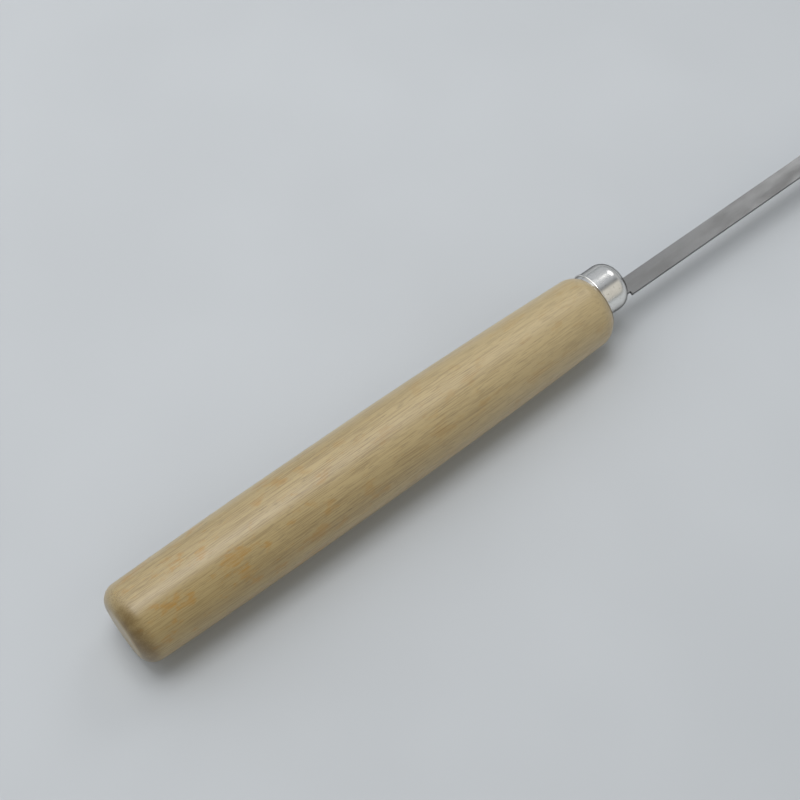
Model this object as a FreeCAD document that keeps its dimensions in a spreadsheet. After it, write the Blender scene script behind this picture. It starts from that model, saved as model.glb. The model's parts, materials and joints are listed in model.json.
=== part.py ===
"""Loop trimming tool for leather-hard clay, as a FreeCAD document.

A turned wooden handle carries a drawn metal ferrule on its tenon, a little to
one side of the handle's axis.  One flat steel strip runs from a tang glued in
the handle, out through a slot in the ferrule, and is bent round into a
pear-shaped cutting loop.  Its end is lapped under the strip and held by two
rivets.

Every sub-part is drawn in the tool frame: x = 0 at the butt face, x running
towards the loop, y = z = 0 on the handle's axis.  Each body's Placement then
puts the tool in the part frame: resting on z = 0, with the origin under its
middle.  All lengths are in millimetres.
"""
import FreeCAD
import Part

import math
import os

import Sketcher

# alias: (value, what it measures)
DIMENSIONS = {
    "overall_length": (226.0, "butt face to the tip of the loop"),
    "belly_radius": (9.5, "handle, at its thickest"),
    "grip_from_butt": (48.3, "middle of the straight, thickest stretch"),
    "grip_length": (12.0, "straight, thickest stretch"),
    "rear_barrel_radius": (1690.0, "long arc from the grip to the butt"),
    "front_barrel_radius": (1890.0, "long arc from the grip to the front"),
    "butt_round": (3.7, "rounding of the butt"),
    "front_from_butt": (124.2, "front face of the wood"),
    "front_radius": (6.06, "front face of the wood"),
    "front_round": (5.0, "rounding of the wood towards its front face"),
    "ferrule_from_butt": (123.0, "base rim of the ferrule, let into the wood"),
    "ferrule_side": (1.55, "ferrule's axis, sideways from the handle's"),
    "ferrule_rise": (0.65, "ferrule's axis, above the handle's"),
    "ferrule_radius": (5.6, "outside of the ferrule"),
    "ferrule_wall": (0.5, "sheet that the ferrule is drawn from"),
    "ferrule_length": (9.0, "base rim to nose"),
    "ferrule_round": (3.3, "outside rounding of the nose"),
    "bead_radius": (0.25, "bead round the ferrule, just ahead of the wood"),
    "seat_clearance": (0.05, "gap between the wood and the ferrule"),
    "strip_width": (4.4, "steel strip, across"),
    "strip_thickness": (0.9, "steel strip"),
    "strip_side": (-0.62, "strip's middle, sideways from the handle's axis"),
    "strip_drop": (0.9, "strip's middle, below the handle's axis"),
    "strip_from_butt": (133.0, "where the tang widens to the full strip"),
    "slot_clearance": (0.1, "gap round the tang in the ferrule's slot"),
    "tang_width": (2.8, "tang, across"),
    "tang_length": (50.0, "tang's end to the ferrule's nose"),
    "tang_point": (6.0, "length of the tang's tapered end"),
    "tang_tip": (1.4, "width of the tang's blunt end"),
    "hole_radius": (1.6, "drilled hole for the tang"),
    "hole_extra": (1.5, "hole beyond the tang's end"),
    "glue_inset": (0.8, "glue below the mouth of the hole"),
    "flare_from_butt": (203.0, "where the strip starts to bend into the loop"),
    "lap_length": (11.0, "strip's end, lapped under the strip"),
    "lap_gap": (0.05, "gap between the two plies of the lap"),
    "bevel_width": (1.1, "ground bevel along each edge of the loop"),
    "edge_land": (0.15, "thickness left at the cutting edge"),
    "corner_round": (1.2, "corners of the lapped end"),
    "rivet_radius": (0.8, "rivet shank"),
    "rivet_head_radius": (1.45, "rivet heads"),
    "rivet_head_height": (0.5, "rivet heads, above the strip"),
    "rivet_pitch": (5.4, "from one rivet to the other"),
    "rivet_from_flare": (2.8, "front rivet to the start of the loop"),
}
NOSE = "ferrule_from_butt + ferrule_length"
TENON_LENGTH = "ferrule_length - ferrule_wall - seat_clearance"
TENON_END = f"ferrule_from_butt + {TENON_LENGTH}"
FERRULE_AXIS = ("ferrule_side", "ferrule_rise")
FULL_TURN = 360.0
NEAR = 1e-6  # two places this close are the same place
SMALLEST_CUT = 0.01  # mm3 that every cut has to take away
CUTTING_FEATURES = ("PartDesign::Pocket", "PartDesign::Hole")

document = FreeCAD.newDocument("loop_trimming_tool")
sheet = document.addObject("Spreadsheet::Sheet", "Sizes")


def fill_sheet():
    """The driving dimensions, one row each."""
    for row, (alias, (value, note)) in enumerate(DIMENSIONS.items(), start=1):
        sheet.set(f"A{row}", note)
        sheet.set(f"B{row}", str(value))
        sheet.setAlias(f"B{row}", alias)
    document.recompute()


def formula(text):
    """An expression in which every dimension's alias is read from the sheet."""
    return " ".join(f"Sizes.{word}" if word in DIMENSIONS else word for word in text.split())


def value_of(text):
    """The number that such an expression gives now."""
    return float(sheet.evalExpression(text))


def new_body(name, side="0", height="0"):
    """An empty body, placed from the tool frame into the part frame."""
    body = document.addObject("PartDesign::Body", name)
    body.Label = name
    body.setExpression("Placement.Base.x", formula("- overall_length / 2"))
    body.setExpression("Placement.Base.y", formula(side))
    body.setExpression("Placement.Base.z", formula(f"belly_radius + {height}"))
    return body


class Drawing:
    """A sketch on one of its body's origin planes, drawn as a chain of lines and arcs."""

    def __init__(self, body, plane, name, offset=None):
        self.sketch = body.newObject("Sketcher::SketchObject", name)
        planes = {feature.Role: feature for feature in body.Origin.OriginFeatures}
        self.sketch.AttachmentSupport = [(planes[plane], "")]
        self.sketch.MapMode = "FlatFace"
        if offset:
            self.sketch.setExpression("AttachmentOffset.Base.z", formula(offset))
        self.ends = []

    def line(self, start, end, smooth=False):
        """A line that carries on from the last piece of the chain."""
        geometry = Part.LineSegment(FreeCAD.Vector(*start, 0), FreeCAD.Vector(*end, 0))
        return self._add(geometry, first=1, last=2, smooth=smooth)

    def arc(self, centre, radius, start, end, smooth=False):
        """An arc from the angle start to the angle end, in degrees, either way round."""
        circle = Part.Circle(FreeCAD.Vector(*centre, 0), FreeCAD.Vector(0, 0, 1), radius)
        low, high = sorted((math.radians(start), math.radians(end)))
        geometry = Part.ArcOfCircle(circle, low, high)
        first, last = (1, 2) if start < end else (2, 1)
        return self._add(geometry, first, last, smooth)

    def circle(self, centre, radius):
        """A full circle, which is not part of the chain."""
        centre = FreeCAD.Vector(*centre, 0)
        return self.sketch.addGeometry(Part.Circle(centre, FreeCAD.Vector(0, 0, 1), radius))

    def close(self):
        """Joins the last piece of the chain to the first."""
        self._join(self.ends[-1], self.ends[0], smooth=False)

    def rule(self, *constraint):
        """A constraint with no size, such as Horizontal."""
        self.sketch.addConstraint(Sketcher.Constraint(*constraint))

    def size(self, name, text, *constraint):
        """A constraint whose size follows an expression."""
        self.sketch.addConstraint(Sketcher.Constraint(*constraint, value_of(text)))
        self.sketch.renameConstraint(self.sketch.ConstraintCount - 1, name)
        self.sketch.setExpression(f"Constraints.{name}", formula(text))

    def _add(self, geometry, first, last, smooth):
        index = self.sketch.addGeometry(geometry)
        if self.ends:
            self._join(self.ends[-1], (index, first, last), smooth)
        self.ends.append((index, first, last))
        return index

    def _join(self, before, after, smooth):
        kind = "Tangent" if smooth else "Coincident"
        self.rule(kind, before[0], before[2], after[0], after[1])


def rectangle(body, plane, name, size_x, size_y, centre=("0", "0"), offset=None):
    """A sketch of one rectangle, its middle at centre."""
    drawing = Drawing(body, plane, name, offset)
    left, right = [value_of(f"{centre[0]} {sign} ( {size_x} ) / 2") for sign in "-+"]
    low, high = [value_of(f"{centre[1]} {sign} ( {size_y} ) / 2") for sign in "-+"]
    corners = [(left, low), (right, low), (right, high), (left, high)]
    sides = [drawing.line(corners[number - 1], corners[number]) for number in range(4)]
    drawing.close()
    start, bottom, end, top = sides
    for index in (bottom, top):
        drawing.rule("Horizontal", index)
    for index in (start, end):
        drawing.rule("Vertical", index)
    drawing.size("size_x", size_x, "DistanceX", bottom, 1, bottom, 2)
    drawing.size("size_y", size_y, "DistanceY", end, 1, end, 2)
    drawing.size("left", f"{centre[0]} - ( {size_x} ) / 2", "DistanceX", -1, 1, bottom, 1)
    drawing.size("low", f"{centre[1]} - ( {size_y} ) / 2", "DistanceY", -1, 1, bottom, 1)
    return drawing.sketch


def disc(body, name, offset, radius, centre=("0", "0")):
    """A sketch of one circle across the tool, at that distance from the butt."""
    drawing = Drawing(body, "YZ_Plane", name, offset)
    circle = drawing.circle([value_of(text) for text in centre], value_of(radius))
    drawing.size("across", centre[0], "DistanceX", -1, 1, circle, 3)
    drawing.size("up", centre[1], "DistanceY", -1, 1, circle, 3)
    drawing.size("radius", radius, "Radius", circle)
    return drawing.sketch


def revolve(body, drawing, axis):
    """Turns a closed half outline into a solid about one of its sketch's axes."""
    turned = body.newObject("PartDesign::Revolution", f"{body.Label}_turned")
    turned.Profile = drawing.sketch
    turned.ReferenceAxis = (drawing.sketch, [axis])
    turned.Angle = FULL_TURN
    drawing.sketch.Visibility = False
    return turned


def pad(body, sketch, name, length):
    """A plate, half of its thickness on each side of its sketch."""
    plate = body.newObject("PartDesign::Pad", name)
    plate.Profile = sketch
    plate.SideType = "Symmetric"
    plate.setExpression("Length", formula(length))
    return plate


def cut_through(body, sketch, name, length):
    """Cuts a sketch's shape out of the body, to both sides of the sketch."""
    cut = body.newObject("PartDesign::Pocket", name)
    cut.Profile = sketch
    cut.SideType = "Symmetric"
    cut.setExpression("Length", formula(length))
    return cut


def fillet(body, name, base, radius, is_wanted):
    """Rounds the edges of the feature base whose bounding boxes are wanted."""
    edges = enumerate(base.Shape.Edges, start=1)
    rounding = body.newObject("PartDesign::Fillet", name)
    rounding.Base = (base, [f"Edge{number}" for number, edge in edges if is_wanted(edge.BoundBox)])
    rounding.setExpression("Radius", formula(radius))


def turn_barrel(body):
    """The barrel: straight along the grip, drawn in towards both of its rounded ends."""
    belly = value_of("belly_radius")
    grip_start = value_of("grip_from_butt - grip_length / 2")
    grip_end = value_of("grip_from_butt + grip_length / 2")
    rear = value_of("rear_barrel_radius")
    front = value_of("front_barrel_radius")
    butt_round = value_of("butt_round")
    end = value_of("front_from_butt")
    end_radius = value_of("front_radius")
    end_round = value_of("front_round")
    butt_side = belly - grip_start**2 / (2 * rear)
    # only roughly placed: the constraints move this arc until it meets its neighbours
    end_centre = (end - 0.8 * end_round, end_radius - 0.6 * end_round)

    outline = Drawing(body, "XY_Plane", "barrel_outline")
    axis = outline.line((0, 0), (end, 0))
    end_face = outline.line((end, 0), (end, end_radius))
    end_arc = outline.arc(end_centre, end_round, 37, 88)
    front_arc = outline.arc((grip_end, belly - front), front, 88, 90, smooth=True)
    grip = outline.line((grip_end, belly), (grip_start, belly), smooth=True)
    rear_arc = outline.arc((grip_start, belly - rear), rear, 90, 91, smooth=True)
    butt_arc = outline.arc((butt_round, butt_side - butt_round), butt_round, 90, 180, smooth=True)
    butt_face = outline.line((0, butt_side - butt_round), (0, 0), smooth=True)
    outline.close()
    outline.rule("Coincident", axis, 1, -1, 1)
    for index in (axis, grip):
        outline.rule("Horizontal", index)
    for index in (end_face, butt_face):
        outline.rule("Vertical", index)
    outline.size("front", "front_from_butt", "DistanceX", -1, 1, axis, 2)
    outline.size("front_radius", "front_radius", "DistanceY", -1, 1, end_face, 2)
    outline.size("front_round", "front_round", "Radius", end_arc)
    outline.size("front_barrel", "front_barrel_radius", "Radius", front_arc)
    outline.size("rear_barrel", "rear_barrel_radius", "Radius", rear_arc)
    outline.size("belly", "belly_radius", "DistanceY", -1, 1, grip, 1)
    outline.size("grip_length", "grip_length", "DistanceX", grip, 2, grip, 1)
    outline.size("grip_start", "grip_from_butt - grip_length / 2", "DistanceX", -1, 1, grip, 2)
    outline.size("butt_round", "butt_round", "Radius", butt_arc)
    revolve(body, outline, "H_Axis")


def shape_ferrule_seat(body):
    """A shallow recess for the ferrule's rim, and the round-ended tenon that fills the ferrule."""
    recess = body.newObject("PartDesign::Pocket", "recess")
    recess.Profile = disc(body, "recess_shape", "front_from_butt",
                          "ferrule_radius + seat_clearance", FERRULE_AXIS)
    recess.setExpression("Length", formula("front_from_butt - ferrule_from_butt"))
    document.recompute()

    tenon = body.newObject("PartDesign::Pad", "tenon")
    tenon.Profile = disc(body, "tenon_shape", "ferrule_from_butt",
                         "ferrule_radius - ferrule_wall - seat_clearance", FERRULE_AXIS)
    tenon.setExpression("Length", formula(TENON_LENGTH))
    document.recompute()

    tenon_end = value_of(TENON_END)
    fillet(body, "tenon_round", tenon, "ferrule_round - ferrule_wall - seat_clearance",
           lambda box: box.XMin > tenon_end - NEAR)
    document.recompute()


def make_handle():
    """Turned hardwood, seated for the ferrule and drilled for the tang."""
    body = new_body("handle")
    turn_barrel(body)
    shape_ferrule_seat(body)
    hole = body.newObject("PartDesign::Hole", "tang_hole")
    hole.Profile = disc(body, "tang_hole_mouth", TENON_END, "hole_radius",
                        ("strip_side", "- strip_drop"))
    hole.DepthType = "Dimension"
    hole.DrillPoint = "Flat"
    hole.setExpression("Diameter", formula("2 * hole_radius"))
    hole.setExpression("Depth", formula(f"{TENON_END} - {NOSE} + tang_length + hole_extra"))
    return body


def make_ferrule():
    """A cup drawn from thin plated sheet, with a bead round it and a slot in its nose.

    It is drawn about its own axis.
    """
    body = new_body("ferrule", *FERRULE_AXIS)
    base = value_of("ferrule_from_butt")
    nose = value_of(NOSE)
    outside = value_of("ferrule_radius")
    wall = value_of("ferrule_wall")
    inside = outside - wall
    outer_round = value_of("ferrule_round")
    inner_round = outer_round - wall
    bead = value_of("bead_radius")
    bead_start = value_of("front_from_butt + seat_clearance")
    corner = (nose - outer_round, outside - outer_round)

    outline = Drawing(body, "XY_Plane", "ferrule_outline")
    rim = outline.line((base, inside), (base, outside))
    seated_side = outline.line((base, outside), (bead_start, outside))
    bead_arc = outline.arc((bead_start + bead, outside), bead, 180, 0)
    side = outline.line((bead_start + 2 * bead, outside), (corner[0], outside))
    outer_corner = outline.arc(corner, outer_round, 90, 0, smooth=True)
    face = outline.line((nose, corner[1]), (nose, 0), smooth=True)
    axis = outline.line((nose, 0), (nose - wall, 0))
    inner_face = outline.line((nose - wall, 0), (nose - wall, corner[1]))
    inner_corner = outline.arc(corner, inner_round, 0, 90, smooth=True)
    inner_side = outline.line((corner[0], inside), (base, inside), smooth=True)
    outline.close()
    for index in (seated_side, side, axis, inner_side):
        outline.rule("Horizontal", index)
    for index in (rim, face, inner_face):
        outline.rule("Vertical", index)
    for point in ((bead_arc, 3), (rim, 2)):
        outline.rule("PointOnObject", *point, side)
    outline.rule("Coincident", inner_corner, 3, outer_corner, 3)
    outline.rule("PointOnObject", axis, 1, -1)
    outline.size("base", "ferrule_from_butt", "DistanceX", -1, 1, rim, 1)
    outline.size("outside", "ferrule_radius", "DistanceY", -1, 1, side, 1)
    outline.size("bead", "bead_radius", "Radius", bead_arc)
    outline.size("bead_start", "front_from_butt + seat_clearance",
                 "DistanceX", -1, 1, seated_side, 2)
    outline.size("length", "ferrule_length", "DistanceX", rim, 1, face, 1)
    outline.size("outer_round", "ferrule_round", "Radius", outer_corner)
    outline.size("wall", "ferrule_wall", "DistanceX", axis, 2, axis, 1)
    revolve(body, outline, "H_Axis")
    document.recompute()

    slot = rectangle(body, "YZ_Plane", "slot_shape",
                     "tang_width + 2 * slot_clearance", "strip_thickness + 2 * slot_clearance",
                     centre=("strip_side - ferrule_side", "- strip_drop - ferrule_rise"),
                     offset=NOSE)
    cut_through(body, slot, "slot", "2 * ferrule_round")
    return body


def tang_outline(body, name):
    """The tang seen from above, from its blunt end to where it widens to the full strip."""
    end_text = f"{NOSE} - tang_length"
    end = value_of(end_text)
    full = end + value_of("tang_point")
    last = value_of("strip_from_butt")
    half_tip = value_of("tang_tip / 2")
    half_width = value_of("tang_width / 2")

    shape = Drawing(body, "XY_Plane", name)
    tip = shape.line((end, half_tip), (end, -half_tip))
    lower_taper = shape.line((end, -half_tip), (full, -half_width))
    lower_edge = shape.line((full, -half_width), (last, -half_width))
    front_edge = shape.line((last, -half_width), (last, half_width))
    upper_edge = shape.line((last, half_width), (full, half_width))
    upper_taper = shape.line((full, half_width), (end, half_tip))
    shape.close()
    for index in (lower_edge, upper_edge):
        shape.rule("Horizontal", index)
    for index in (tip, front_edge):
        shape.rule("Symmetric", index, 1, index, 2, -1)
    shape.rule("Equal", lower_taper, upper_taper)
    shape.size("tip", "tang_tip", "DistanceY", tip, 2, tip, 1)
    shape.size("width", "tang_width", "DistanceY", front_edge, 1, front_edge, 2)
    shape.size("tang_end", end_text, "DistanceX", -1, 1, tip, 1)
    shape.size("tang_point", "tang_point", "DistanceX", lower_taper, 1, lower_taper, 2)
    shape.size("front", "strip_from_butt", "DistanceX", -1, 1, front_edge, 1)
    return shape.sketch


def make_loop_blade():
    """One flat steel strip: pointed tang, straight shank, pear-shaped loop and lapped end.

    It is drawn about the shank's own middle line.
    """
    body = new_body("loop_blade", side="strip_side", height="- strip_drop")
    pad(body, tang_outline(body, "tang_shape"), "tang", "strip_thickness")
    shank = rectangle(body, "XY_Plane", "shank_outline",
                      "flare_from_butt - strip_from_butt", "strip_width",
                      centre=("( flare_from_butt + strip_from_butt ) / 2", "0"))
    pad(body, shank, "shank", "strip_thickness")
    sweep_loop(body)

    tail = rectangle(body, "XY_Plane", "tail_outline", "lap_length", "strip_width",
                     centre=("flare_from_butt - lap_length / 2", "0"),
                     offset="- strip_thickness - lap_gap")
    tail_pad = pad(body, tail, "tail", "strip_thickness")
    document.recompute()
    tail_end = value_of("flare_from_butt - lap_length")
    ply_top = value_of("- strip_thickness / 2 - lap_gap")
    fillet(body, "tail_corners", tail_pad, "corner_round",
           lambda box: box.XMax < tail_end + NEAR and box.XMin > tail_end - NEAR
           and box.ZLength > box.YLength and box.ZMax < ply_top + NEAR)

    rivet_holes = Drawing(body, "XY_Plane", "rivet_hole_places")
    for name, place in rivet_places().items():
        circle = rivet_holes.circle((value_of(place), 0), value_of("rivet_radius"))
        rivet_holes.rule("PointOnObject", circle, 3, -1)
        rivet_holes.size(f"{name}_place", place, "DistanceX", -1, 1, circle, 3)
        rivet_holes.size(f"{name}_radius", "rivet_radius", "Radius", circle)
    cut_through(body, rivet_holes.sketch, "rivet_holes", "8 * strip_thickness")
    return body


def rivet_places():
    """Each rivet's distance from the butt."""
    front = "flare_from_butt - rivet_from_flare"
    return {"rivet_front": front, "rivet_rear": f"{front} - rivet_pitch"}


def sweep_loop(body):
    """The loop: two flares and a long nose arc, swept with the bevelled section."""
    radius_text = "belly_radius - strip_drop - strip_thickness - lap_gap / 2"
    middle_text = "( strip_thickness + lap_gap ) / 2"
    radius = value_of(radius_text)
    drop = value_of(middle_text)
    flare = value_of("flare_from_butt")
    nose = value_of("overall_length - strip_thickness / 2") - radius
    reach = nose - flare
    flare_radius = (reach**2 + drop**2 - radius**2) / (2 * (radius - drop))
    turn = math.degrees(math.atan2(reach, flare_radius + drop))

    path = Drawing(body, "XZ_Plane", "loop_path")
    upper = path.arc((flare, flare_radius), flare_radius, -90, turn - 90)
    bow = path.arc((nose, -drop), radius, turn + 90, -90 - turn, smooth=True)
    lower = path.arc((flare, -2 * drop - flare_radius), flare_radius, 90 - turn, 90, smooth=True)
    path.rule("Equal", upper, lower)
    path.rule("Vertical", upper, 1, upper, 3)
    path.rule("Vertical", lower, 2, lower, 3)
    path.rule("PointOnObject", upper, 1, -1)
    path.size("flare", "flare_from_butt", "DistanceX", -1, 1, upper, 1)
    path.size("tail_flare", "flare_from_butt", "DistanceX", -1, 1, lower, 2)
    path.size("lap", "strip_thickness + lap_gap", "DistanceY", lower, 2, upper, 1)
    path.size("bow_radius", radius_text, "Radius", bow)
    path.size("bow_reach", f"overall_length - strip_thickness / 2 - ( {radius_text} )",
              "DistanceX", -1, 1, bow, 3)

    half_width = value_of("strip_width / 2")
    half = value_of("strip_thickness / 2")
    land = value_of("edge_land") - half
    flat = half_width - value_of("bevel_width")
    section = Drawing(body, "YZ_Plane", "loop_section", "flare_from_butt")
    inner = section.line((-half_width, -half), (half_width, -half))
    right_land = section.line((half_width, -half), (half_width, land))
    right_bevel = section.line((half_width, land), (flat, half))
    outer = section.line((flat, half), (-flat, half))
    left_bevel = section.line((-flat, half), (-half_width, land))
    left_land = section.line((-half_width, land), (-half_width, -half))
    section.close()
    for index in (right_land, left_land):
        section.rule("Vertical", index)
    for index in (inner, outer):
        section.rule("Symmetric", index, 1, index, 2, -2)
    section.rule("Equal", right_bevel, left_bevel)
    section.size("width", "strip_width", "DistanceX", inner, 1, inner, 2)
    section.size("flat", "strip_width - 2 * bevel_width", "DistanceX", outer, 2, outer, 1)
    section.size("land", "edge_land", "DistanceY", right_land, 1, right_land, 2)
    section.size("top", "strip_thickness / 2", "DistanceY", -1, 1, outer, 1)
    section.size("bottom", "strip_thickness / 2", "DistanceY", inner, 1, -1, 1)

    loop = body.newObject("PartDesign::AdditivePipe", "loop")
    loop.Profile = section.sketch
    loop.Spine = (path.sketch, [])
    loop.Mode = "Binormal"
    loop.Binormal = FreeCAD.Vector(0, 1, 0)
    path.sketch.Visibility = False


def make_rivet(name, place):
    """A round-headed rivet through both plies of the lap, drawn about its own middle."""
    body = new_body(name, side="strip_side",
                    height="- strip_drop - ( strip_thickness + lap_gap ) / 2")
    body.setExpression("Placement.Base.x", formula(f"{place} - overall_length / 2"))
    grip_text = "strip_thickness + lap_gap / 2"
    grip = value_of(grip_text)
    radius = value_of("rivet_radius")
    head = value_of("rivet_head_radius")
    rise = value_of("rivet_head_height")
    dome = (head**2 + rise**2) / (2 * rise)
    spread = math.degrees(math.asin(head / dome))

    outline = Drawing(body, "XZ_Plane", f"{name}_outline")
    axis = outline.line((0, grip + rise), (0, -grip - rise))
    lower_dome = outline.arc((0, dome - grip - rise), dome, -90, spread - 90)
    lower_seat = outline.line((head, -grip), (radius, -grip))
    side = outline.line((radius, -grip), (radius, grip))
    upper_seat = outline.line((radius, grip), (head, grip))
    upper_dome = outline.arc((0, grip + rise - dome), dome, 90 - spread, 90)
    outline.close()
    for index in (axis, side):
        outline.rule("Symmetric", index, 1, index, 2, -1)
    for index in (lower_seat, upper_seat):
        outline.rule("Horizontal", index)
    for index, point in ((axis, 1), (lower_dome, 3), (upper_dome, 3)):
        outline.rule("PointOnObject", index, point, -2)
    outline.rule("Equal", lower_seat, upper_seat)
    outline.size("grip", f"2 * ( {grip_text} )", "DistanceY", side, 1, side, 2)
    outline.size("radius", "rivet_radius", "DistanceX", -1, 1, side, 1)
    outline.size("head", "rivet_head_radius", "DistanceX", -1, 1, upper_seat, 2)
    outline.size("rise", "rivet_head_height", "DistanceY", upper_seat, 2, axis, 1)
    revolve(body, outline, "V_Axis")
    return body


def make_tang_glue():
    """Hard glue that fills the drilled hole round the tang, drawn about the tang's middle line."""
    body = new_body("tang_glue", side="strip_side", height="- strip_drop")
    hole_bottom = f"{NOSE} - tang_length - hole_extra"
    filling = body.newObject("PartDesign::Pad", "filling")
    filling.Profile = disc(body, "plug_shape", hole_bottom, "hole_radius")
    filling.setExpression("Length", formula(f"{TENON_END} - glue_inset - ( {hole_bottom} )"))
    cut_through(body, tang_outline(body, "tang_shape_in_glue"), "tang_slot", "strip_thickness")
    return body


def check(bodies):
    """Stops if anything failed to build or a cut took nothing away."""
    for item in document.Objects:
        if {"Invalid", "Error"} & set(item.State):
            raise RuntimeError(f"{item.Name} did not build: {item.State}")
        if item.isDerivedFrom("Sketcher::SketchObject") and not item.FullyConstrained:
            raise RuntimeError(f"{item.Name} is not fully constrained")
        if item.TypeId in CUTTING_FEATURES:
            before = item.BaseFeature.Shape.Volume
            if item.Shape.Volume > before - SMALLEST_CUT:
                raise RuntimeError(f"{item.Name} cuts nothing")
    for body in bodies:
        shape = body.Shape
        if shape.isNull() or not shape.isValid() or len(shape.Solids) != 1:
            raise RuntimeError(f"{body.Label} is not one valid solid")


def main():
    """Builds, checks and exports every sub-part."""
    fill_sheet()
    bodies = [make_handle(), make_ferrule(), make_loop_blade(), make_tang_glue()]
    for name, place in rivet_places().items():
        bodies.append(make_rivet(name, place))
    document.recompute()
    check(bodies)
    os.makedirs("parts", exist_ok=True)
    for body in bodies:
        body.Shape.exportStep(f"parts/{body.Label}.step")
        print(f"{body.Label}: {body.Shape.Volume:.1f} mm3")


main()
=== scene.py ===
"""Looks of the loop trimming tool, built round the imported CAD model.

Part frame, in metres: x runs from the butt towards the loop, z is up from the surface that
the tool lies on, and the handle's axis is at y = 0.
"""

import json
import math

import bmesh
import bpy
from mathutils import Matrix, Vector

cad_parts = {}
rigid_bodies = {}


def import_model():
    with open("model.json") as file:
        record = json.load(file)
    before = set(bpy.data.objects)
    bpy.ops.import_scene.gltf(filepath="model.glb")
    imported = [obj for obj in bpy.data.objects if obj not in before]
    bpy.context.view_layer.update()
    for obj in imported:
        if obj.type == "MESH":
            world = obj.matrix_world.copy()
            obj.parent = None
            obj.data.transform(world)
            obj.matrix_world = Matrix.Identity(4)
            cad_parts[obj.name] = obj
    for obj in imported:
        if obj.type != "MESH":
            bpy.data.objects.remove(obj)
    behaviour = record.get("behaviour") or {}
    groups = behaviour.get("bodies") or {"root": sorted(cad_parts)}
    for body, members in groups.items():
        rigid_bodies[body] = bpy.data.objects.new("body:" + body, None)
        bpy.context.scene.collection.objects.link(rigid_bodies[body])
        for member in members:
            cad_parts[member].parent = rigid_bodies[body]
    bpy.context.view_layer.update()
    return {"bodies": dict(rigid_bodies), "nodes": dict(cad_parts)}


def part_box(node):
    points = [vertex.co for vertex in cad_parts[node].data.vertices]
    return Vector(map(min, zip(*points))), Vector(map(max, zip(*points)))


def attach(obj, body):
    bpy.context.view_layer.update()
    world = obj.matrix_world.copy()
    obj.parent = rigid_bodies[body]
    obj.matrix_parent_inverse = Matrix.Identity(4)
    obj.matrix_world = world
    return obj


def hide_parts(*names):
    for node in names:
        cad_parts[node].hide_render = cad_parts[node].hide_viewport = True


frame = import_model()

MM = 0.001
BODY = next(iter(frame["bodies"]))

handle_low, handle_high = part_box("handle")
BUTT_X = handle_low.x
AXIS_HEIGHT = (handle_low.z + handle_high.z) / 2

# The handle's outline, in millimetres from the butt face and from its axis. The front is
# where the wood is seen to end: the CAD handle's tenon reaches on inside the ferrule.
BELLY_RADIUS = (handle_high.z - handle_low.z) / 2 / MM
GRIP_START = 42.3
GRIP_END = 54.3
REAR_BARREL_RADIUS = 1690.0
FRONT_BARREL_RADIUS = 1890.0
BUTT_ROUND = 3.7
FRONT_FROM_BUTT = 124.2
FRONT_ROUND = 5.0
FRONT_ROUND_START = 120.17
RIM_ROUND = 0.2

# How finely the handle is drawn: steps round it, rows along each part of its outline, and
# rings across a flat end face as shares of the face's radius.
TURNS = 160
BUTT_ROWS = 16
BARREL_ROWS = 60
FRONT_ROWS = 20
RIM_ROWS = 5
FACE_SHARES = (0.0, 0.3, 0.6, 0.9)
# A smaller radius than this, in millimetres, is a point on the axis.
NEAR_AXIS = 1e-6


# ---- meshes ----

def arc_points(centre, radius, start, end, count):
    """Points on an arc from one angle to the other, in degrees."""
    angles = [math.radians(start + (end - start) * step / (count - 1)) for step in range(count)]
    return [(centre[0] + radius * math.cos(a), centre[1] + radius * math.sin(a)) for a in angles]


def barrel_radius(x):
    """The handle's radius between its rounded ends."""
    if x < GRIP_START:
        return BELLY_RADIUS - (GRIP_START - x) ** 2 / (2 * REAR_BARREL_RADIUS)
    return BELLY_RADIUS - max(0.0, x - GRIP_END) ** 2 / (2 * FRONT_BARREL_RADIUS)


def handle_outline():
    """The turned handle's half outline, from the middle of the butt to the middle of the front."""
    rear_slope = (GRIP_START - BUTT_ROUND) / REAR_BARREL_RADIUS
    front_slope = (FRONT_ROUND_START - GRIP_END) / FRONT_BARREL_RADIUS
    butt_centre = (BUTT_ROUND, barrel_radius(BUTT_ROUND) - BUTT_ROUND)
    front_centre = (FRONT_ROUND_START - FRONT_ROUND * math.sin(front_slope),
                    barrel_radius(FRONT_ROUND_START) - FRONT_ROUND * math.cos(front_slope))
    rim_x = FRONT_FROM_BUTT - RIM_ROUND
    rim_angle = math.degrees(math.acos((rim_x - front_centre[0]) / FRONT_ROUND))

    butt_face = [(0.0, butt_centre[1] * share) for share in FACE_SHARES]
    butt = arc_points(butt_centre, BUTT_ROUND, 180, 90 + math.degrees(rear_slope), BUTT_ROWS)
    barrel_step = (FRONT_ROUND_START - BUTT_ROUND) / BARREL_ROWS
    places = [BUTT_ROUND + barrel_step * row for row in range(1, BARREL_ROWS)]
    barrel = [(x, barrel_radius(x)) for x in places]
    front_start = 90 - math.degrees(front_slope)
    front = arc_points(front_centre, FRONT_ROUND, front_start, rim_angle, FRONT_ROWS)
    rim_y = front[-1][1] - RIM_ROUND * math.sin(math.radians(rim_angle))
    rim = arc_points((rim_x, rim_y), RIM_ROUND, rim_angle, 0, RIM_ROWS)[1:]
    front_face = [(FRONT_FROM_BUTT, rim_y * share) for share in reversed(FACE_SHARES)]
    return butt_face + butt + barrel + front + rim + front_face


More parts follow.
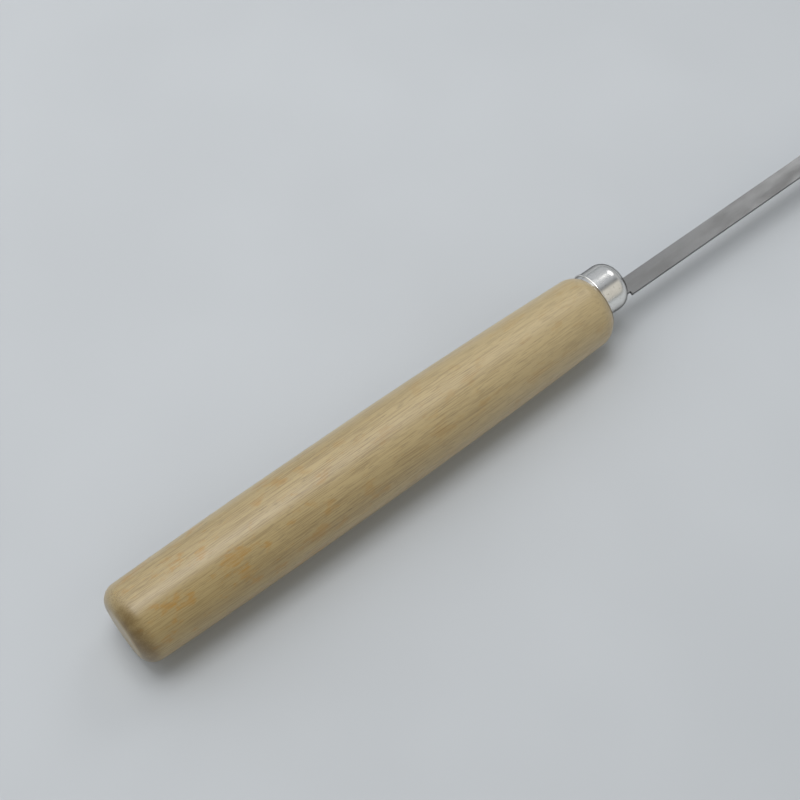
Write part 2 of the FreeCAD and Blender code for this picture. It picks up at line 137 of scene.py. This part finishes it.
def turned_mesh(name, outline):
    """A solid turned about the handle's axis; outline in millimetres, both ends on the axis."""
    mesh = bmesh.new()
    rings = []
    for x, radius in outline:
        steps = 1 if radius < NEAR_AXIS else TURNS
        angles = [2 * math.pi * step / TURNS for step in range(steps)]
        rings.append([mesh.verts.new((BUTT_X + x * MM,
                                      radius * MM * math.cos(angle),
                                      AXIS_HEIGHT + radius * MM * math.sin(angle)))
                      for angle in angles])
    for ring, after in zip(rings, rings[1:]):
        for step in range(TURNS):
            beside = (step + 1) % TURNS
            corners = [ring[step % len(ring)], after[step % len(after)],
                       after[beside % len(after)], ring[beside % len(ring)]]
            # Next to the axis two of the four corners are the same one.
            mesh.faces.new(list(dict.fromkeys(corners)))
    bmesh.ops.recalc_face_normals(mesh, faces=mesh.faces)
    data = bpy.data.meshes.new(name)
    mesh.to_mesh(data)
    mesh.free()
    data.shade_smooth()
    piece = bpy.data.objects.new(name, data)
    bpy.context.scene.collection.objects.link(piece)
    return piece


def stand_for(piece, node):
    """The piece rides on the tool's one body in place of a CAD node."""
    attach(piece, BODY)
    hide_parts(node)


# ---- materials ----

LIGHT_WOOD = (0.46, 0.352, 0.170, 1)
MID_WOOD = (0.385, 0.284, 0.122, 1)
BROWN_WOOD = (0.20, 0.130, 0.045, 1)
PORE_WOOD = (0.10, 0.065, 0.028, 1)
FRONT_WOOD = (0.60, 0.485, 0.285, 1)
YELLOWED_WOOD = (0.30, 0.205, 0.045, 1)
ORANGE_STAIN = (0.38, 0.20, 0.025, 1)
BURNISHED_WOOD = (0.130, 0.075, 0.010, 1)
# Painted shade for the joint where the wood meets the ferrule.
PAINTED_RIM_SHADE = (0.07, 0.045, 0.02, 1)
PLATING = (0.93, 0.92, 0.89, 1)
DULLED_PLATING = (0.76, 0.74, 0.70, 1)
PLATING_SPECK = (0.40, 0.37, 0.33, 1)
PLATING_EDGE_TINT = (0.12, 0.12, 0.13, 1)
STEEL_PIT = (0.15, 0.13, 0.11, 1)
PALE_GLUE = (0.60, 0.42, 0.16, 1)
DARK_GLUE = (0.42, 0.26, 0.08, 1)
TABLETOP_GREY = (0.532, 0.557, 0.580, 1)
TABLETOP_PALE = (0.555, 0.581, 0.605, 1)

# Steel's red, green and blue as shares of its tone.
CLEAN_STEEL = (1, 1, 0.99)
DARK_STEEL = (0.72, 0.71, 0.69)

# Sockets of the Mix node that only their numbers tell apart.
MIX_FIRST_COLOUR = 6
MIX_SECOND_COLOUR = 7
MIX_COLOUR_RESULT = 2


class Shader:
    """The nodes of a material or world, each fed by plain values or by other nodes."""

    def __init__(self, owner, surface="Principled BSDF", coordinates="Object"):
        owner.use_nodes = True
        self.owner = owner
        self.tree = owner.node_tree
        self.surface = self.tree.nodes[surface]
        self.place = self.tree.nodes.new("ShaderNodeTexCoord").outputs[coordinates]

    def feed(self, socket, value):
        """Joins an input to another node's output, or sets it to a plain value."""
        if isinstance(value, bpy.types.NodeSocket):
            self.tree.links.new(value, socket)
        else:
            socket.default_value = value

    def node(self, kind, inputs, output=0, **settings):
        """A new node's output socket. Inputs are named or numbered."""
        node = self.tree.nodes.new(kind)
        for name, value in settings.items():
            setattr(node, name, value)
        for name, value in inputs.items():
            self.feed(node.inputs[name], value)
        return node.outputs[output]

    def noise(self, grain, detail=2.0, roughness=0.5, shift=0.0, distortion=0.0):
        """Noise whose features have about the size grain, (x, y, z) in millimetres.

        A different shift gives a noise that doesn't follow the others.
        """
        scaled = self.node("ShaderNodeMapping", {
            "Vector": self.place,
            "Location": (shift, shift, shift),
            "Scale": tuple(1 / (size * MM) for size in grain)})
        return self.node("ShaderNodeTexNoise", {
            "Vector": scaled, "Scale": 1.0, "Detail": detail, "Roughness": roughness,
            "Distortion": distortion})

    def between(self, value, low, high, to_low=0.0, to_high=1.0):
        """Value from low..high spread smoothly over to_low..to_high."""
        return self.node("ShaderNodeMapRange", {
            "Value": value, "From Min": low, "From Max": high,
            "To Min": to_low, "To Max": to_high}, interpolation_type="SMOOTHSTEP")

    def along(self, axis):
        """One part of the place (or, in a world, of the direction)."""
        return self.node("ShaderNodeSeparateXYZ", {0: self.place}, output=axis)

    def times(self, first, second):
        return self.node("ShaderNodeMath", {0: first, 1: second}, operation="MULTIPLY")

    def plus(self, first, second):
        return self.node("ShaderNodeMath", {0: first, 1: second}, operation="ADD")

    def mix(self, share, first, second):
        """A colour between two colours."""
        return self.node("ShaderNodeMix", {
            "Factor": share, MIX_FIRST_COLOUR: first, MIX_SECOND_COLOUR: second},
            output=MIX_COLOUR_RESULT, data_type="RGBA")

    def bump(self, height, distance, strength=1.0, below=None):
        """A normal from a height of 0..1, distance metres high, on top of the relief below."""
        inputs = {"Height": height, "Distance": distance, "Strength": strength}
        if below is not None:
            inputs["Normal"] = below
        return self.node("ShaderNodeBump", inputs)

    def finish(self, **inputs):
        """Feeds the surface's inputs, with _ for a space, and returns the material or world."""
        for name, value in inputs.items():
            self.feed(self.surface.inputs[name.replace("_", " ")], value)
        return self.owner


def from_butt(wood, low, high, to_low=0.0, to_high=1.0):
    """A value spread between two distances from the butt face, in millimetres."""
    return wood.between(wood.along(0), BUTT_X + low * MM, BUTT_X + high * MM, to_low, to_high)


def grain_colour(wood, streaks, pore_mask):
    """Pale wood with bands, streaks, thin lines and short pores along it, palest in front."""
    growth = wood.noise((260, 3.6, 3.6), detail=2, distortion=0.3)
    bands = wood.noise((90, 0.9, 0.9), detail=2, roughness=0.6, shift=3.1)
    lines = wood.noise((9, 0.18, 0.18), detail=0, shift=5.5)
    middling = wood.between(growth, 0.35, 0.75, to_low=0.1, to_high=0.8)
    colour = wood.mix(middling, LIGHT_WOOD, MID_WOOD)
    colour = wood.mix(wood.between(bands, 0.45, 0.72, to_high=0.10), colour, BROWN_WOOD)
    colour = wood.mix(wood.between(streaks, 0.45, 0.75, to_high=0.40), colour, BROWN_WOOD)
    colour = wood.mix(wood.between(lines, 0.55, 0.63, to_high=0.48), colour, BROWN_WOOD)
    colour = wood.mix(wood.times(pore_mask, 0.4), colour, PORE_WOOD)
    return wood.mix(from_butt(wood, 45, 115, to_high=0.28), colour, FRONT_WOOD)


def worn_colour(wood, colour, streaks):
    """The marks of use: yellowed and stained near the butt, burnished round the butt's edge.

    The yellowing and the burnish are on the side towards the viewer.
    """
    blotches = wood.noise((5, 2.6, 2.6), detail=4, roughness=0.65, shift=21.0)
    near_side = wood.between(wood.along(1), 6 * MM, -3 * MM)
    yellowed = wood.times(from_butt(wood, 60, 6), near_side)
    colour = wood.mix(wood.times(yellowed, 0.35), colour, YELLOWED_WOOD)

    along_grain = wood.between(streaks, 0.35, 0.60, to_low=0.3, to_high=0.9)
    stain = wood.times(wood.between(blotches, 0.52, 0.66), along_grain)
    thinning = from_butt(wood, 80, 6, to_low=0.3)
    colour = wood.mix(wood.times(stain, thinning), colour, ORANGE_STAIN)

    butt_edge = wood.times(from_butt(wood, 4.8, 1.4), from_butt(wood, 0.05, 0.35))
    ragged = wood.between(blotches, 0.35, 0.6, to_low=0.55, to_high=0.85)
    burnish = wood.times(wood.times(butt_edge, near_side), ragged)
    return wood.mix(burnish, colour, BURNISHED_WOOD)


def wood_material():
    """Straight-grained hardwood under satin lacquer, with painted shade where it meets the ferrule.
    """
    wood = Shader(bpy.data.materials.new("handle_wood"))
    streaks = wood.noise((26, 0.15, 0.15), detail=2, roughness=0.6, shift=7.7)
    pores = wood.noise((2.6, 0.16, 0.16), detail=1, shift=12.3)
    pore_mask = wood.between(pores, 0.60, 0.70)
    colour = worn_colour(wood, grain_colour(wood, streaks, pore_mask), streaks)
    # Painted shade: the wood darkens over its last 0.7 mm before the ferrule, standing in for the
    # shadow in the joint.
    rim = from_butt(wood, FRONT_FROM_BUTT - 0.7, FRONT_FROM_BUTT - 0.15, to_high=0.6)
    colour = wood.mix(rim, colour, PAINTED_RIM_SHADE)

    grooves = wood.plus(wood.times(streaks, 0.5), wood.times(pore_mask, -0.8))
    unevenness = wood.noise((18, 6, 6), shift=31.0)
    relief = wood.bump(grooves, 0.02 * MM, strength=0.5)
    relief = wood.bump(unevenness, 0.12 * MM, strength=0.35, below=relief)
    roughness = wood.between(streaks, 0.3, 0.7, to_low=0.42, to_high=0.54)
    return wood.finish(Base_Color=colour, Roughness=roughness, Normal=relief,
                       Coat_Weight=0.80, Coat_Roughness=0.36)


def plated_material():
    """Bright plating with fine drawing lines round it, dulled in places by handling."""
    plate = Shader(bpy.data.materials.new("ferrule_metal"))
    lines = plate.noise((0.20, 14, 14), detail=2, roughness=0.5)
    smudges = plate.noise((2.4, 2.0, 2.0), detail=3, roughness=0.6, shift=5.0)
    specks = plate.noise((0.35, 0.3, 0.3), detail=1, shift=11.0)
    speck_mask = plate.between(specks, 0.68, 0.76)
    dulling = plate.between(smudges, 0.4, 0.75, to_high=0.3)
    colour = plate.mix(dulling, PLATING, DULLED_PLATING)
    colour = plate.mix(plate.times(speck_mask, 0.5), colour, PLATING_SPECK)
    relief = plate.bump(lines, 0.003 * MM, strength=0.4)
    roughness = plate.between(smudges, 0.3, 0.75, to_low=0.20, to_high=0.28)
    return plate.finish(Base_Color=colour, Metallic=1.0, Normal=relief,
                        Specular_Tint=PLATING_EDGE_TINT, Roughness=roughness)


def steel_material(name, tone, roughness):
    """Satin steel ground along its length, with faint darker patches."""
    steel = Shader(bpy.data.materials.new(name))
    lines = steel.noise((22, 0.07, 0.07), detail=2, roughness=0.6)
    patches = steel.noise((9, 3, 3), detail=3, shift=4.0)
    pits = steel.noise((0.5, 0.3, 0.3), detail=1, shift=9.0)
    light = (*(tone * share for share in CLEAN_STEEL), 1)
    dark = (*(tone * share for share in DARK_STEEL), 1)
    colour = steel.mix(steel.between(patches, 0.4, 0.75, to_high=0.6), light, dark)
    colour = steel.mix(steel.between(lines, 0.45, 0.75, to_high=0.35), colour, dark)
    colour = steel.mix(steel.between(pits, 0.70, 0.78, to_high=0.5), colour, STEEL_PIT)
    relief = steel.bump(lines, 0.006 * MM, strength=0.5)
    patchy = steel.between(patches, 0.3, 0.75, roughness - 0.05, roughness + 0.08)
    return steel.finish(Base_Color=colour, Metallic=1.0, Normal=relief, Roughness=patchy)


def glue_material():
    """Hard amber glue with a few small bubbles."""
    glue = Shader(bpy.data.materials.new("glue"))
    cloud = glue.noise((1.2, 0.9, 0.9), detail=2)
    bubbles = glue.noise((0.25, 0.25, 0.25), detail=0, shift=2.0)
    colour = glue.mix(glue.between(cloud, 0.35, 0.7), PALE_GLUE, DARK_GLUE)
    relief = glue.bump(glue.between(bubbles, 0.62, 0.7), 0.03 * MM, strength=0.6)
    return glue.finish(Base_Color=colour, Roughness=0.28, Normal=relief)


def floor_material():
    """A smooth pale grey, slightly mottled."""
    floor = Shader(bpy.data.materials.new("tabletop"))
    mottle = floor.noise((60, 60, 60), detail=2)
    colour = floor.mix(floor.between(mottle, 0.3, 0.7), TABLETOP_GREY, TABLETOP_PALE)
    return floor.finish(Base_Color=colour, Roughness=0.7)


# ---- the object ----

def dress_node(node, material):
    """Gives a CAD node a better material."""
    mesh = frame["nodes"][node].data
    mesh.materials.clear()
    mesh.materials.append(material)


def build_tool():
    """A finely turned handle stands for the CAD's; the other nodes keep their own shapes."""
    handle = turned_mesh("turned_handle", handle_outline())
    handle.data.materials.append(wood_material())
    stand_for(handle, "handle")
    dress_node("ferrule", plated_material())
    dress_node("loop_blade", steel_material("blade_steel", tone=0.215, roughness=0.34))
    rivet_steel = steel_material("rivet_steel", tone=0.62, roughness=0.30)
    for node in ("rivet_front", "rivet_rear"):
        dress_node(node, rivet_steel)
    dress_node("tang_glue", glue_material())


# ---- the studio ----

# The room's light round the tool's length, as (degrees up and over from the horizon behind
# the viewer, brightness, warmth of 0 to 1).
ROOM = ((0, 0.50, 1), (58, 0.61, 1), (67, 0.22, 0.5), (74, 0.16, 0), (84, 0.36, 0), (115, 0.40, 0),
        (180, 0.48, 0))
ROOM_ENDS = (0.41, 0.42, 0.43, 1)
HORIZON = (0.245, 0.265, 0.280, 1)
# Red, green and blue per unit of brightness where the room is cool, and what warmth adds.
COOL_LIGHT = (0.94, 0.985, 1.05)
WARMTH_ADDS = (0.08, 0.0, -0.15)
# The fades: the square of the direction's x towards the ends, and its z above the horizon.
ENDS_FADE_FROM = 0.60
ENDS_FADE_TO = 0.92
HORIZON_FADE = 0.22


def build_floor():
    """A wide round tabletop just under the tool."""
    radius = 12.0
    corners = 96
    mesh = bpy.data.meshes.new("floor")
    angles = [2 * math.pi * step / corners for step in range(corners)]
    mesh.from_pydata([(radius * math.cos(a), radius * math.sin(a), 0) for a in angles], [],
                     [tuple(range(corners))])
    floor = bpy.data.objects.new("floor", mesh)
    bpy.context.scene.collection.objects.link(floor)
    floor.data.materials.append(floor_material())


def build_world():
    """A pale room: warm and bright behind the viewer, cooler beyond the tool.

    Towards the two ends of the tool's length the room fades to a plain grey, and just above
    the horizon to a darker one.
    """
    room = Shader(bpy.data.worlds.new("studio"), "Background", "Generated")
    along, across, up = (room.along(axis) for axis in range(3))
    angle = room.node("ShaderNodeMath", {0: up, 1: room.times(across, -1.0)}, operation="ARCTAN2")
    band = room.node("ShaderNodeValToRGB", {0: room.times(angle, 1 / math.pi)})
    stops = band.node.color_ramp.elements
    while len(stops) < len(ROOM):
        stops.new(position=0.5)
    for stop, (degrees, brightness, warmth) in zip(stops, ROOM):
        stop.position = degrees / 180
        light = [brightness * (cool + warmth * adds) for cool, adds in zip(COOL_LIGHT, WARMTH_ADDS)]
        stop.color = (*light, 1)
    endwise = room.between(room.times(along, along), ENDS_FADE_FROM, ENDS_FADE_TO)
    colour = room.mix(endwise, band, ROOM_ENDS)
    colour = room.mix(room.between(up, 0.0, HORIZON_FADE), HORIZON, colour)
    bpy.context.scene.world = room.finish(Color=colour)


def add_softbox(name, direction, distance, size, power):
    """A square area light that faces the middle of the tool."""
    place = Vector(direction).normalized() * distance
    light = bpy.data.lights.new(name, "AREA")
    light.shape = "SQUARE"
    light.size = size
    light.energy = power
    lamp = bpy.data.objects.new(name, light)
    lamp.location = place
    lamp.rotation_mode = "QUATERNION"
    lamp.rotation_quaternion = (-place).to_track_quat("-Z", "Y")
    bpy.context.scene.collection.objects.link(lamp)


def build_lights():
    """A lamp overhead, a wide one beyond the tool and a more distant one on the loop's side."""
    add_softbox("ceiling_light", (-0.06, 0.16, 1.0), distance=0.75, size=0.34, power=1.95)
    add_softbox("far_light", (-0.22, 0.64, 0.74), distance=0.9, size=0.95, power=2.6)
    add_softbox("spot_light", (0.66, 0.34, 0.68), distance=1.2, size=0.40, power=1.3)


def build_camera():
    """Looks down on the handle from the butt's near side, at a little beyond its middle."""
    target = Vector((-37.47, 7.48, 9.5)) * MM
    azimuth = math.radians(-127.37)
    elevation = math.radians(61.46)
    roll = math.radians(-0.51)
    distance = 340 * MM
    back = Vector((math.cos(elevation) * math.cos(azimuth),
                   math.cos(elevation) * math.sin(azimuth),
                   math.sin(elevation)))
    level = back.to_track_quat("Z", "Y").to_matrix()
    camera_data = bpy.data.cameras.new("camera")
    camera_data.lens = 71.52
    camera_data.sensor_width = 36.0
    camera_data.clip_start = 0.01
    camera_data.clip_end = 10.0
    camera = bpy.data.objects.new("camera", camera_data)
    turned = level @ Matrix.Rotation(roll, 3, "Z")
    camera.matrix_world = Matrix.Translation(target + back * distance) @ turned.to_4x4()
    bpy.context.scene.collection.objects.link(camera)
    bpy.context.scene.camera = camera


build_tool()
build_floor()
build_world()
build_lights()
build_camera()
bpy.context.scene.view_settings.view_transform = "Standard"
